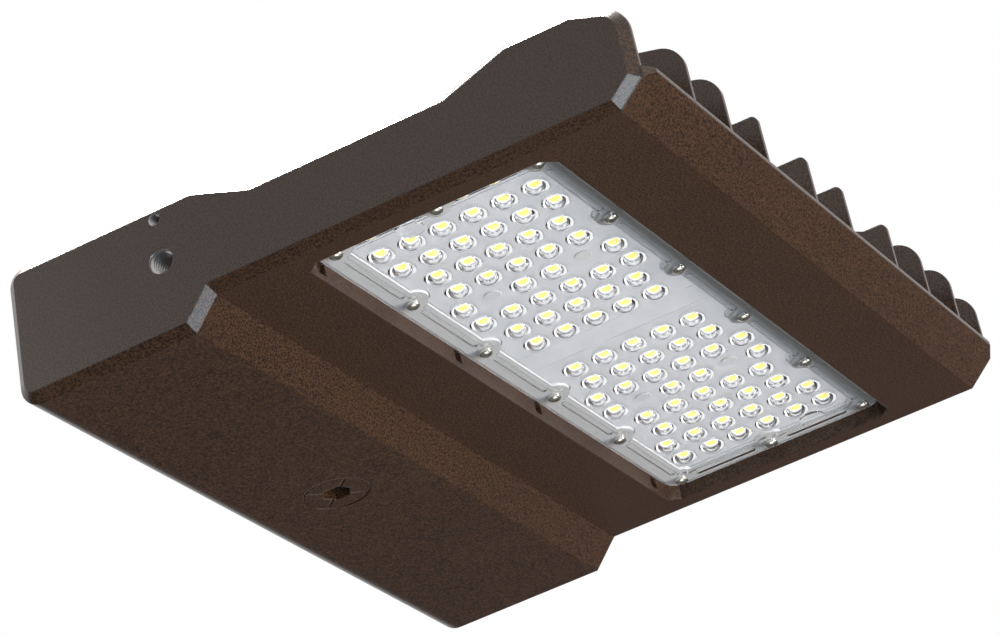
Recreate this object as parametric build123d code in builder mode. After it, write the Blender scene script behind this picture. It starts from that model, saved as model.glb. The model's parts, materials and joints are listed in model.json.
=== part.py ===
from build123d import *
import math
import os

# LED flood light head: one die-cast aluminium housing with a driver box at the rear, a finned
# cooling plate in front, a clear optic panel let into the underside, a lift-off driver cover on
# top and a screw-in plug that closes the sensor port.
#
# Lengths run forward from the rear of the casting, heights run up from the underside of the
# cooling plate, and y runs from the near side wall to the far one. The section and level planes
# below carry those measures to the part's frame, whose origin is the middle of the tilt axis
# through the two pivot threads. All sizes are millimetres.

# Tilt axis, measured on the casting
TILT_X = 53.9
TILT_Z = 20.3

# Casting
WIDTH = 330.0
HALF_WIDTH = WIDTH / 2
WALL = 5.5
INNER_Y = HALF_WIDTH - WALL
WALL_END_X = 250.2
PLATE_END_X = 253.7
BOX_FLOOR_Z = -11.55
BOX_FRONT_X = 62.0
SKIN = 3.8
PLATE_TOP_Z = 13.8
PLATE_EDGE_TOP_Z = 13.9
BAND_START_X = 239.5
BAND_SLOPE = 0.864
EDGE_CHAMFER = 3.8
WALL_TOP_Z = 44.3
DIP_TOP_Z = 35.8
REAR_TOP_X = -11.3
REAR_BOTTOM_X = -15.4

# Fins
FIN_THICKNESS = 2.0
FIN_DROP = 1.5
FIN_Y = (16.6, 60.3, 92.6, 123.5)
SCOOP_FLOOR_Z = 33.4
SCOOP_RADIUS_X = 30.0
SCOOP_RADIUS_Y = 63.6
SCOOP_RIM_ANGLE = 25.0

# Driver box
CAVITY_REAR_X = -6.5
CAVITY_FRONT_X = 56.5
CAVITY_HALF_Y = 154.5
CAVITY_FLOOR_Z = -8.5
SEAT_Z = 41.0
GASKET_TOP_Z = 42.0
COVER_TOP_Z = 45.0
COVER_CLEARANCE = 0.5
COVER_REAR_X = REAR_TOP_X + 1.6
COVER_RECESS = 0.8

# Threads in each side wall, on the tilt axis and above it
PIVOT_RADIUS = 5.0
PIVOT_DEPTH = 14.0
LOCK_RADIUS = 2.5
LOCK_DEPTH = 11.0
LOCK_X = 54.3
LOCK_Z = 37.6
PAD_REAR_X = 44.0
PAD_Y = 148.0

# Window recess, lens seat and board pocket
WINDOW_REAR_X = 103.6
WINDOW_FRONT_X = 206.7
WINDOW_HALF_Y = 152.5
WINDOW_CORNER = 5.0
WINDOW_X = (WINDOW_REAR_X + WINDOW_FRONT_X) / 2
SEAT_LEDGE_Z = 8.2
POCKET_FLOOR_Z = 9.6
POCKET_HALF_X = 39.8
POCKET_HALF_Y = 141.6
FIELD_X = 155.7
SLOT_Y = (33.4, 137.8)
SLOT_WIDTH = 5.4
SLOT_DEPTH = 2.2
SLOT_LOW_Z = 2.8

# Optic panel and its screws
LENS_FRONT_Z = 5.4
LENS_BACK_Z = 6.9
LENS_BORDER_FRONT_Z = 4.4
LENS_BORDER_BACK_Z = 7.2
LENS_BORDER = 8.4
LENS_HALF_X = 49.2
LENS_HALF_Y = 150.0
LENS_CORNER = 7.0
LENS_X = 155.55
LENS_RIM_STEP = 0.5
LENS_RIM_WIDTH = 1.3
LENS_EAR_RADIUS = 5.6
CHANNEL_WIDTH = 2.6
CHANNEL_DEPTH = 0.9
CHANNEL_GAP = 7.4
GATE_SPOTS = ((141.0, -138.0), (177.5, 139.0))
GATE_RADIUS = 5.4
LENS_SCREW_HALF_X = 42.3
LENS_SCREW_Y = (28.85, 86.6, 144.3)
LENS_SCREW_RADIUS = 1.5
LENS_SCREW_HEAD_RADIUS = 2.7
LENS_SCREW_HEAD = 1.5
SCREW_BUMP_RADIUS = 6.4
LENS_SCREW_TIP_Z = 12.8

# LED boards
BOARD_BACK_Z = 9.3
BOARD_THICKNESS = 1.3
BOARD_FRONT_Z = BOARD_BACK_Z - BOARD_THICKNESS
BOARD_HALF_X = 39.3
BOARD_INNER_Y = 7.1
BOARD_OUTER_Y = 140.9
LED_PITCH_X = 12.99
LED_PITCH_Y = 15.88
LED_FIRST_Y = 127.6
LED_SIZE = 5.0
LED_HEIGHT = 0.65
LONG_ROWS = (0, 1, 4, 5)
RIVET_ROW = 4
DOME = (5.3, 6.2, 2.9)
DOME_CAVITY = (2.9, 3.3, 2.4)
CAP_OVERLAP = 0.3
RIVET_RADIUS = 1.5
RIVET_HEAD_RADIUS = 3.3
RIVET_HEAD = 0.6
RIVET_SPLIT = 0.6
RIVET_SPLIT_Z = 10.4
BOARD_HOLE_RADIUS = RIVET_RADIUS + 0.2

# Sensor port and its plug
PORT_X = 25.6
PORT_RADIUS = 10.0
PORT_SINK_RADIUS = 13.5
PORT_SINK_DEPTH = 3.4
PORT_BOSS_RADIUS = 17.0
PORT_BOSS_TOP_Z = -1.0
PORT_SINK_Z = BOX_FLOOR_Z + PORT_SINK_DEPTH
PLUG_FLANGE_RADIUS = 13.2
PLUG_FLANGE = 1.8
PLUG_FACE_Z = BOX_FLOOR_Z + 0.2
PLUG_SHOULDER_Z = PLUG_FACE_Z + PLUG_FLANGE
PLUG_HEX_RADIUS = 6.2
PLUG_HEX_DEPTH = 5.0
PLUG_GROOVE_WIDTH = 0.8
PLUG_GROOVE_DEPTH = 0.5
RUNNING_CLEARANCE = 0.05

# Wire entry in the rear wall
ENTRY_Y = 112.0
ENTRY_Z = 16.0
ENTRY_RADIUS = 10.2
ENTRY_DEPTH = 15.0
ENTRY_BOSS_RADIUS = 15.0
ENTRY_BOSS = 5.0

# Wireway from the driver box to the board pocket
DUCT_HALF_Y = 6.0
DUCT_TOP_Z = 18.6
DUCT_BORE_Z = 14.2
DUCT_BORE_RADIUS = 3.2
DUCT_DROP_X = 124.0
DUCT_DROP_RADIUS = 2.8
DUCT_FRONT_X = 129.0

# Breather vent in the box's front wall
VENT_Y = 38.5
VENT_Z = 25.0
VENT_RADIUS = 6.0

# Cover screws: four corners, and one beside the sensor port on each long side
COVER_SCREW_X = (-2.6, 52.4)
COVER_SCREW_Y = (149.9, 22.0)
COVER_SCREW_RADIUS = 2.0
COVER_SCREW_HEAD_RADIUS = 3.6
COVER_SCREW_HEAD = 2.2
COVER_BOSS_RADIUS = 5.2
COVER_SCREW_TIP_Z = 28.0
COVER_HEAD_SEAT_Z = COVER_TOP_Z - COVER_SCREW_HEAD + 0.6

# Driver, bracket and what else sits on the box floor
BRACKET_BOTTOM_Z = -5.0
SHEET = 1.5
BRACKET_REAR_X = -1.0
BRACKET_FRONT_X = 49.0
BRACKET_NEAR_Y = -139.0
BRACKET_FAR_Y = -21.0
DRIVER_X = 24.0
DRIVER_Y = -80.0
DRIVER_LENGTH = 96.0
DRIVER_DEPTH = 50.0
DRIVER_HEIGHT = 33.0
DRIVER_NEAR_Y = DRIVER_Y - DRIVER_LENGTH / 2
DRIVER_FAR_Y = DRIVER_Y + DRIVER_LENGTH / 2
FLOOR_BOSS_RADIUS = 4.0
CHASSIS_SCREW_RADIUS = 2.0
CHASSIS_HEAD_RADIUS = 3.6
CHASSIS_HEAD = 2.4
CHASSIS_HOLE_RADIUS = CHASSIS_SCREW_RADIUS + 0.25
BRACKET_SCREWS = ((4.0, -134.0), (44.0, -134.0), (4.0, -26.0), (44.0, -26.0))
SURGE_X = 30.0
SURGE_Y = 58.0
SURGE_LENGTH = 44.0
SURGE_DEPTH = 34.0
SURGE_HEIGHT = 26.0
SURGE_SCREWS = ((30.0, 31.5), (30.0, 84.5))
BLOCK_X = 14.0
BLOCK_Y = 106.0
BLOCK_LENGTH = 18.0
BLOCK_WIDTH = 22.0
BLOCK_HEIGHT = 18.0
BLOCK_TOP_Z = BRACKET_BOTTOM_Z + BLOCK_HEIGHT
BLOCK_SCREWS = ((29.0, 106.0), (-1.0, 106.0))
GROUND_X = 40.0
GROUND_Y = 132.0
LINE_WIRE_RADIUS = 1.1
LEAD_RADIUS = 0.8
LEAD_HALF_GAP = 1.0
RING_TERMINAL_RADIUS = 4.2
RING_TERMINAL = 1.2

# Outline of the side walls: length, height and corner radius, from the lower rear corner round
SIDE_CORNERS = (
    (REAR_BOTTOM_X, BOX_FLOOR_Z, 8),
    (60.65, BOX_FLOOR_Z, 0),
    (71.65, 0, 0),
    (BAND_START_X, 0, 0),
    (WALL_END_X, BAND_SLOPE * (WALL_END_X - BAND_START_X), 0),
    (WALL_END_X, 37.7, 11),
    (230.5, WALL_TOP_Z + 0.4, 6),
    (203, WALL_TOP_Z + 0.4, 6),
    (176, DIP_TOP_Z, 6),
    (95.4, DIP_TOP_Z, 6),
    (71.6, WALL_TOP_Z, 6),
    (REAR_TOP_X, WALL_TOP_Z, 7),
)


def section(y):
    """Upright plane across the casting at y: local x is length, local y is height."""
    return Plane(origin=(-TILT_X, y, -TILT_Z), x_dir=(1, 0, 0), z_dir=(0, -1, 0))


def level(z):
    """Level plane at height z: local x is length along the casting, local y is y."""
    return Plane(origin=(-TILT_X, 0, z - TILT_Z), x_dir=(1, 0, 0), z_dir=(0, 0, 1))


def wall_face(x):
    """Plane across the casting at length x, facing forward: local x is y, local y is height."""
    return Plane(origin=(x - TILT_X, 0, -TILT_Z), x_dir=(0, 1, 0), z_dir=(1, 0, 0))


def place(x, y, z):
    """A point of the casting in the part's frame."""
    return (x - TILT_X, y, z - TILT_Z)


def outline(corners):
    """Flat face from corners given as length, height and corner radius."""
    with BuildSketch() as sheet:
        with BuildLine():
            Polyline(*[(x, z) for x, z, radius in corners], close=True)
        make_face()
        for x, z, radius in corners:
            if radius > 0:
                corner = sheet.vertices().sort_by_distance(Vector(x, z, 0))[0]
                fillet(corner, radius)
    return sheet.sketch


def on_bottom_rim(edge):
    """Whether an edge of the slug lies along the bottom of either side face."""
    middle = edge.center()
    height = middle.Z + TILT_Z
    if abs(abs(middle.Y) - HALF_WIDTH) > 0.01:
        return False
    return height < -5.0 or height < 5.0 and middle.X + TILT_X > REAR_TOP_X


def scoop_edge(y):
    """Length at which the scooped-out middle of the fin tops reaches its floor."""
    return PLATE_END_X - SCOOP_RADIUS_X * math.sqrt(1 - (y / SCOOP_RADIUS_Y) ** 2)


def fin_outline(y):
    """Outline of a fin at y as points and corner radii, from its root at the box."""
    crest = WALL_TOP_Z + 0.3 - FIN_DROP
    dip = DIP_TOP_Z - FIN_DROP
    root = [
        (BOX_FRONT_X - 2, SKIN / 2, 0),
        (BAND_START_X - 1, SKIN / 2, 0),
        (PLATE_END_X - 2, PLATE_EDGE_TOP_Z - 1, 0),
        (PLATE_END_X, PLATE_EDGE_TOP_Z - 1, 0),
    ]
    back = [
        (203, crest, 6),
        (176, dip, 6),
        (95.4, dip, 6),
        (71.6, crest - 0.3, 6),
        (BOX_FRONT_X - 2, crest - 0.3, 0),
    ]
    if y < SCOOP_RADIUS_Y:
        rim = (crest - SCOOP_FLOOR_Z) / math.tan(math.radians(SCOOP_RIM_ANGLE))
        end = [
            (PLATE_END_X, SCOOP_FLOOR_Z, 2.9),
            (scoop_edge(y), SCOOP_FLOOR_Z, 2),
        ]
        if scoop_edge(y) - rim > 206:
            end.append((scoop_edge(y) - rim, crest, 3))
            return root + end + back
        return root + end + back[1:]
    end = [(PLATE_END_X, 36.7, 11), (227.6, crest, 6)]
    return root + end + back


def lens_screw_spots():
    """Length and y of the fourteen optic panel screws."""
    spots = []
    for side in (-1, 1):
        for y in LENS_SCREW_Y:
            spots.append((FIELD_X - LENS_SCREW_HALF_X, side * y))
            spots.append((FIELD_X + LENS_SCREW_HALF_X, side * y))
        spots.append((FIELD_X, side * LENS_SCREW_Y[-1]))
    return spots


def border_channels():
    """Middle, length and turn of each channel in the panel's border, between two screws."""
    channels = []
    rows = [-LENS_SCREW_Y[2], -LENS_SCREW_Y[1], -LENS_SCREW_Y[0], *LENS_SCREW_Y]
    for x in (FIELD_X - LENS_SCREW_HALF_X, FIELD_X + LENS_SCREW_HALF_X):
        for near_y, far_y in zip(rows, rows[1:]):
            channels.append((x, (near_y + far_y) / 2, far_y - near_y - 2 * CHANNEL_GAP, 90))
    for y in (rows[0], rows[-1]):
        for end in (-1, 1):
            middle = FIELD_X + end * LENS_SCREW_HALF_X / 2
            channels.append((middle, y, LENS_SCREW_HALF_X - 2 * CHANNEL_GAP, 0))
    return channels


def led_spots(side):
    """Length and y of the LEDs of one board, leaving out the two places of its rivets."""
    spots = []
    for row in range(8):
        count = 6 if row in LONG_ROWS else 5
        y = side * (LED_FIRST_Y - row * LED_PITCH_Y)
        for i in range(count):
            if row == RIVET_ROW and i in (1, 4):
                continue
            spots.append((FIELD_X + (i - (count - 1) / 2) * LED_PITCH_X, y))
    return spots


def rivet_spots(side):
    """Length and y of the two rivets that hold one board."""
    y = side * (LED_FIRST_Y - RIVET_ROW * LED_PITCH_Y)
    return [(FIELD_X - 1.5 * LED_PITCH_X, y), (FIELD_X + 1.5 * LED_PITCH_X, y)]


def cover_screw_spots():
    """Length and y of the six cover screws."""
    corners = [(x, side * COVER_SCREW_Y[0]) for x in COVER_SCREW_X for side in (-1, 1)]
    return corners + [(x, COVER_SCREW_Y[1]) for x in COVER_SCREW_X]


def board_face(side, grow):
    """Outline of one LED board, grown all round, notched round the panel screws."""
    with BuildSketch() as sheet:
        with Locations((FIELD_X, side * (BOARD_INNER_Y + BOARD_OUTER_Y) / 2)):
            Rectangle(2 * BOARD_HALF_X + 2 * grow, BOARD_OUTER_Y - BOARD_INNER_Y + 2 * grow)
        with Locations(*lens_screw_spots()):
            Circle(SCREW_BUMP_RADIUS + 0.6 - grow, mode=Mode.SUBTRACT)
    return sheet.sketch


def wire(stops, bend, radius):
    """A wire along straight runs between stops, joined by arcs of one bend radius."""
    with BuildPart() as one_wire:
        with BuildLine() as route:
            FilletPolyline(*[place(*stop) for stop in stops], radius=bend)
        with BuildSketch(Plane(origin=route.line @ 0, z_dir=route.line % 0)):
            Circle(radius)
        sweep(path=route.line)
    return one_wire.part


def pan_screw(head_radius, head, shank_radius, shank, recess):
    """A pan-head screw: origin under the head, shank along +Z, cross recess in the head."""
    with BuildPart() as one_screw:
        with BuildSketch(Plane.XZ):
            with BuildLine():
                Line((0, shank), (shank_radius, shank))
                Line((shank_radius, shank), (shank_radius, 0))
                Line((shank_radius, 0), (head_radius, 0))
                Line((head_radius, 0), (head_radius, -head * 0.45))
                TangentArc((head_radius * 0.45, -head), (head_radius, -head * 0.45), tangent=(1, 0))
                Line((head_radius * 0.45, -head), (0, -head))
                Line((0, -head), (0, shank))
            make_face()
        revolve(axis=Axis.Z)
        with BuildSketch(Plane.XY.offset(-head)):
            Rectangle(2 * recess, recess * 0.4)
            Rectangle(recess * 0.4, 2 * recess)
        extrude(amount=head * 0.6, mode=Mode.SUBTRACT)
    return one_screw.part


def cap_of(half_x, half_y, height):
    """A cap of an ellipsoid of revolution about its long axis, along y, and its round radius.

    The cap points down and its rim lies a little above the level of its widest section.
    """
    round_radius = (half_x**2 + height**2) / (2 * height)
    long_radius = half_y / math.sqrt(1 - ((round_radius - height) / round_radius) ** 2)
    with BuildPart() as cap:
        with BuildSketch(Plane.XY):
            Ellipse(round_radius, long_radius)
            with Locations((-round_radius, 0)):
                Rectangle(2 * round_radius, 4 * long_radius, mode=Mode.SUBTRACT)
        revolve(axis=Axis.Y)
        split(bisect_by=Plane.XY.offset(height - round_radius + CAP_OVERLAP), keep=Keep.BOTTOM)
    return cap.part, round_radius


def turned(screw):
    """The same screw with its head up, for screws driven from above."""
    return screw.rotate(Axis.X, 180)


def save(piece, label):
    """Label a finished piece and write it."""
    piece.part.label = label
    export_step(piece.part, f"parts/{label}.step")


os.makedirs("parts", exist_ok=True)

# Housing: one die casting, with side walls, fins, driver box, duct and thread pads
with BuildPart() as housing:
    # Slug with the outline of the side walls, and the flat chamfer along its bottom edges
    with BuildSketch(section(0)):
        add(outline(SIDE_CORNERS))
    extrude(amount=HALF_WIDTH, both=True)
    chamfer(housing.edges().filter_by(on_bottom_rim), EDGE_CHAMFER)

    # Air over the cooling plate, between the side walls
    with BuildSketch(section(0)):
        with BuildLine():
            Polyline(
                (BOX_FRONT_X, 60),
                (BOX_FRONT_X, SKIN),
                (WINDOW_REAR_X - SKIN, SKIN),
                (WINDOW_REAR_X - SKIN, PLATE_TOP_Z),
                (WINDOW_FRONT_X + SKIN, PLATE_TOP_Z),
                (WINDOW_FRONT_X + SKIN, SKIN),
                (BAND_START_X - 0.5, SKIN),
                (PLATE_END_X - 3, PLATE_EDGE_TOP_Z),
                (PLATE_END_X + 8, PLATE_EDGE_TOP_Z),
                (PLATE_END_X + 8, 60),
                close=True,
            )
        make_face()
    extrude(amount=INNER_Y, both=True, mode=Mode.SUBTRACT)

    # Sloping band that ends in the plate's front edge, with its corners cut back at the walls
    with BuildSketch(section(0)):
        with BuildLine():
            Polyline(
                (BAND_START_X, 0),
                (PLATE_END_X, BAND_SLOPE * (PLATE_END_X - BAND_START_X)),
                (PLATE_END_X, PLATE_EDGE_TOP_Z),
                (PLATE_END_X - 3, PLATE_EDGE_TOP_Z),
                (BAND_START_X, SKIN),
                close=True,
            )
        make_face()
    extrude(amount=INNER_Y + 2, both=True)
    with BuildSketch(level(0)):
        for side in (-1, 1):
            with BuildLine():
                Polyline(
                    (PLATE_END_X + 1, side * 153.5),
                    (WALL_END_X, side * 162),
                    (PLATE_END_X + 1, side * 170),
                    close=True,
                )
            make_face()
    extrude(amount=20, mode=Mode.SUBTRACT)

    # Fins
    for fin_y in FIN_Y:
        for side in (-1, 1):
            with BuildSketch(section(side * fin_y)):
                add(outline(fin_outline(fin_y)))
            extrude(amount=FIN_THICKNESS / 2, both=True)

    # Driver box cavity, its wider opening for the cover and the gasket seat
    with BuildSketch(level(CAVITY_FLOOR_Z)):
        with Locations(((CAVITY_REAR_X + CAVITY_FRONT_X) / 2, 0)):
            RectangleRounded(CAVITY_FRONT_X - CAVITY_REAR_X, 2 * CAVITY_HALF_Y, 4)
    extrude(amount=80, mode=Mode.SUBTRACT)
    with BuildSketch(level(SEAT_Z)):
        with Locations(((BOX_FRONT_X - 30) / 2, 0)):
            Rectangle(BOX_FRONT_X + 30, 2 * INNER_Y)
    extrude(amount=30, mode=Mode.SUBTRACT)

    # Pads behind the side threads, and bosses for the cover screws
    with BuildSketch(level(CAVITY_FLOOR_Z - 1)):
        for side in (-1, 1):
            with Locations(((PAD_REAR_X + CAVITY_FRONT_X) / 2 + 1, side * (PAD_Y + CAVITY_HALF_Y + 1) / 2)):
                Rectangle(CAVITY_FRONT_X - PAD_REAR_X + 2, CAVITY_HALF_Y - PAD_Y + 1)
    extrude(amount=SEAT_Z - CAVITY_FLOOR_Z + 1)
    with BuildSketch(level(CAVITY_FLOOR_Z - 1)):
        with Locations(*cover_screw_spots()):
            Circle(COVER_BOSS_RADIUS)
    extrude(amount=SEAT_Z - CAVITY_FLOOR_Z + 1)

    # Boss round the sensor port, bosses for the screws on the floor
    with BuildSketch(level(CAVITY_FLOOR_Z - 1)):
        with Locations((PORT_X, 0)):
            Circle(PORT_BOSS_RADIUS)
    extrude(amount=PORT_BOSS_TOP_Z - CAVITY_FLOOR_Z + 1)
    with BuildSketch(level(CAVITY_FLOOR_Z - 1)):
        with Locations(*BRACKET_SCREWS, *SURGE_SCREWS, *BLOCK_SCREWS, (GROUND_X, GROUND_Y)):
            Circle(FLOOR_BOSS_RADIUS)
    extrude(amount=BRACKET_BOTTOM_Z - CAVITY_FLOOR_Z + 1)

    # Boss inside the rear wall for the wire entry
    with BuildSketch(wall_face(CAVITY_REAR_X - 1)):
        with Locations((ENTRY_Y, ENTRY_Z)):
            Circle(ENTRY_BOSS_RADIUS)
    extrude(amount=ENTRY_BOSS)

    # Duct for the wires on top of the plate, between the two middle fins
    with BuildSketch(section(0)):
        with BuildLine():
            Polyline(
                (BOX_FRONT_X - 1, SKIN / 2),
                (WINDOW_REAR_X - SKIN + 1, SKIN / 2),
                (WINDOW_REAR_X - SKIN + 1, PLATE_TOP_Z - 1),
                (DUCT_FRONT_X, PLATE_TOP_Z - 1),
                (DUCT_FRONT_X, DUCT_TOP_Z),
                (BOX_FRONT_X - 1, DUCT_TOP_Z),
                close=True,
            )
        make_face()
    extrude(amount=DUCT_HALF_Y, both=True)

    # Window recess in the underside, lens seat and board pocket with its screw lands
    with BuildSketch(level(0)):
        with Locations((WINDOW_X, 0)):
            window = Rectangle(WINDOW_FRONT_X - WINDOW_REAR_X, 2 * WINDOW_HALF_Y)
        chamfer(window.vertices(), WINDOW_CORNER)
    extrude(amount=SEAT_LEDGE_Z, mode=Mode.SUBTRACT)
    with BuildSketch(level(SEAT_LEDGE_Z)):
        with Locations((FIELD_X, 0)):
            Rectangle(2 * POCKET_HALF_X, 2 * POCKET_HALF_Y)
        with Locations(*lens_screw_spots()):
            Circle(SCREW_BUMP_RADIUS + 0.3, mode=Mode.SUBTRACT)
    extrude(amount=POCKET_FLOOR_Z - SEAT_LEDGE_Z, mode=Mode.SUBTRACT)
    with BuildSketch(level(SLOT_LOW_Z)):
        for side in (-1, 1):
            for slot_y in SLOT_Y:
                with Locations(
                    (WINDOW_REAR_X - SLOT_DEPTH / 2, side * slot_y),
                    (WINDOW_FRONT_X + SLOT_DEPTH / 2, side * slot_y),
                ):
                    Rectangle(SLOT_DEPTH, SLOT_WIDTH)
    extrude(amount=SEAT_LEDGE_Z - SLOT_LOW_Z, mode=Mode.SUBTRACT)

    # Screw holes
    with BuildSketch(level(SEAT_LEDGE_Z - 1)):
        with Locations(*lens_screw_spots()):
            Circle(LENS_SCREW_RADIUS + RUNNING_CLEARANCE)
        with Locations(*rivet_spots(-1), *rivet_spots(1)):
            Circle(RIVET_RADIUS + RUNNING_CLEARANCE)
    extrude(amount=LENS_SCREW_TIP_Z + 0.3 - SEAT_LEDGE_Z + 1, mode=Mode.SUBTRACT)
    with BuildSketch(level(SEAT_Z)):
        with Locations(*cover_screw_spots()):
            Circle(COVER_SCREW_RADIUS + RUNNING_CLEARANCE)
    extrude(amount=COVER_SCREW_TIP_Z - 1 - SEAT_Z, mode=Mode.SUBTRACT)
    with BuildSketch(level(BRACKET_BOTTOM_Z)):
        with Locations(*BRACKET_SCREWS, *SURGE_SCREWS, *BLOCK_SCREWS, (GROUND_X, GROUND_Y)):
            Circle(CHASSIS_SCREW_RADIUS + RUNNING_CLEARANCE)
    extrude(amount=CAVITY_FLOOR_Z - 1 - BRACKET_BOTTOM_Z, mode=Mode.SUBTRACT)

    # Sensor port with its sink for the plug flange
    with BuildSketch(level(BOX_FLOOR_Z)):
        with Locations((PORT_X, 0)):
            Circle(PORT_SINK_RADIUS)
    extrude(amount=PORT_SINK_DEPTH, mode=Mode.SUBTRACT)
    with BuildSketch(level(BOX_FLOOR_Z)):
        with Locations((PORT_X, 0)):
            Circle(PORT_RADIUS)
    extrude(amount=PORT_BOSS_TOP_Z + 1 - BOX_FLOOR_Z, mode=Mode.SUBTRACT)

    # Blind pivot and lock threads in both side walls
    for side in (-1, 1):
        with BuildSketch(section(side * HALF_WIDTH)):
            with Locations((TILT_X, TILT_Z)):
                Circle(PIVOT_RADIUS)
        extrude(amount=side * PIVOT_DEPTH, mode=Mode.SUBTRACT)
        with BuildSketch(section(side * HALF_WIDTH)):
            with Locations((LOCK_X, LOCK_Z)):
                Circle(LOCK_RADIUS)
        extrude(amount=side * LOCK_DEPTH, mode=Mode.SUBTRACT)

    # Wire entry, breather hole and wireway
    with BuildSketch(wall_face(REAR_BOTTOM_X - 1)):
        with Locations((ENTRY_Y, ENTRY_Z)):
            Circle(ENTRY_RADIUS)
    extrude(amount=ENTRY_DEPTH, mode=Mode.SUBTRACT)
    with BuildSketch(wall_face(BOX_FRONT_X)):
        with Locations((VENT_Y, VENT_Z)):
            Circle(VENT_RADIUS)
    extrude(amount=-8, mode=Mode.SUBTRACT)
    with BuildSketch(wall_face(CAVITY_FRONT_X - 1)):
        with Locations((0, DUCT_BORE_Z)):
            Circle(DUCT_BORE_RADIUS)
    extrude(amount=DUCT_DROP_X + DUCT_DROP_RADIUS + 0.5 - CAVITY_FRONT_X + 1, mode=Mode.SUBTRACT)
    with BuildSketch(level(POCKET_FLOOR_Z)):
        with Locations((DUCT_DROP_X, 0)):
            Circle(DUCT_DROP_RADIUS)
    extrude(amount=DUCT_BORE_Z + 0.5 - POCKET_FLOOR_Z, mode=Mode.SUBTRACT)
save(housing, "housing")

# Driver cover: cast lid that drops between the side walls, with sinks for its captive screws
with BuildPart() as driver_cover:
    with BuildSketch(section(0)):
        with BuildLine():
            Polyline(
                (COVER_REAR_X, GASKET_TOP_Z),
                (BOX_FRONT_X - COVER_CLEARANCE, GASKET_TOP_Z),
                (BOX_FRONT_X - COVER_CLEARANCE, COVER_TOP_Z),
                (COVER_REAR_X, COVER_TOP_Z),
                close=True,
            )
        make_face()
    extrude(amount=INNER_Y - COVER_CLEARANCE, both=True)
    fillet(driver_cover.edges().group_by(Axis.Z)[-1], 1.2)
    with BuildSketch(level(COVER_TOP_Z)):
        with Locations(((CAVITY_REAR_X + CAVITY_FRONT_X) / 2, 0)):
            RectangleRounded(38, 268, 6)
    extrude(amount=-COVER_RECESS, mode=Mode.SUBTRACT)
    with BuildSketch(level(COVER_TOP_Z)):
        with Locations(*cover_screw_spots()):
            Circle(COVER_SCREW_HEAD_RADIUS + 0.4)
    extrude(amount=COVER_HEAD_SEAT_Z - COVER_TOP_Z, mode=Mode.SUBTRACT)
    with BuildSketch(level(COVER_TOP_Z)):
        with Locations(*cover_screw_spots()):
            Circle(COVER_SCREW_RADIUS + 0.3)
    extrude(amount=GASKET_TOP_Z - COVER_TOP_Z, mode=Mode.SUBTRACT)
save(driver_cover, "driver_cover")

# Cover gasket: cut from silicone sheet, with an ear round each screw
with BuildPart() as cover_gasket:
    with BuildSketch(level(SEAT_Z)):
        with Locations(((REAR_TOP_X + BOX_FRONT_X) / 2, 0)):
            RectangleRounded(BOX_FRONT_X - REAR_TOP_X - 2, 2 * INNER_Y - 2, 3)
        with Locations(((CAVITY_REAR_X + CAVITY_FRONT_X) / 2, 0)):
            RectangleRounded(
                CAVITY_FRONT_X - CAVITY_REAR_X + 0.4,
                2 * CAVITY_HALF_Y + 0.4,
                4,
                mode=Mode.SUBTRACT,
            )
        with Locations(*cover_screw_spots()):
            Circle(COVER_BOSS_RADIUS)
            Circle(COVER_SCREW_RADIUS + 0.3, mode=Mode.SUBTRACT)
    extrude(amount=GASKET_TOP_Z - SEAT_Z)
save(cover_gasket, "cover_gasket")

# Six captive cover screws
cover_screw = turned(
    pan_screw(
        COVER_SCREW_HEAD_RADIUS,
        COVER_SCREW_HEAD,
        COVER_SCREW_RADIUS,
        COVER_HEAD_SEAT_Z - COVER_SCREW_TIP_Z,
        2.0,
    )
)
with BuildPart() as cover_screws:
    with Locations(*[place(x, y, COVER_HEAD_SEAT_Z) for x, y in cover_screw_spots()]):
        add(cover_screw)
save(cover_screws, "cover_screws")

# Driver bracket: folded sheet on four floor bosses
with BuildPart() as driver_bracket:
    with BuildSketch(level(BRACKET_BOTTOM_Z)):
        with Locations((DRIVER_X, (BRACKET_NEAR_Y + BRACKET_FAR_Y) / 2)):
            RectangleRounded(BRACKET_FRONT_X - BRACKET_REAR_X, BRACKET_FAR_Y - BRACKET_NEAR_Y, 3)
        with Locations(*BRACKET_SCREWS):
            Circle(CHASSIS_HOLE_RADIUS, mode=Mode.SUBTRACT)
    extrude(amount=SHEET)
save(driver_bracket, "driver_bracket")

# LED driver: potted aluminium case with end flanges
with BuildPart() as led_driver:
    with BuildSketch(level(BRACKET_BOTTOM_Z + SHEET)):
        with Locations((DRIVER_X, DRIVER_Y)):
            Rectangle(DRIVER_DEPTH, DRIVER_LENGTH)
    extrude(amount=DRIVER_HEIGHT)
    fillet(led_driver.edges().filter_by(Axis.Y), 3)
    fillet(led_driver.edges().group_by(Axis.Y)[0] + led_driver.edges().group_by(Axis.Y)[-1], 1)
save(led_driver, "led_driver")

# Surge protector: moulded block with two screw ears
with BuildPart() as surge_protector:
    with BuildSketch(level(BRACKET_BOTTOM_Z)):
        with Locations((SURGE_X, SURGE_Y)):
            SlotOverall(SURGE_LENGTH + 18, 12, rotation=90)
        with Locations(*SURGE_SCREWS):
            Circle(CHASSIS_HOLE_RADIUS, mode=Mode.SUBTRACT)
    extrude(amount=SHEET)
    with BuildSketch(level(BRACKET_BOTTOM_Z)):
        with Locations((SURGE_X, SURGE_Y)):
            RectangleRounded(SURGE_DEPTH, SURGE_LENGTH, 3)
    extrude(amount=SURGE_HEIGHT)
    fillet(surge_protector.edges().group_by(Axis.Z)[-1], 1.5)
save(surge_protector, "surge_protector")

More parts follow.
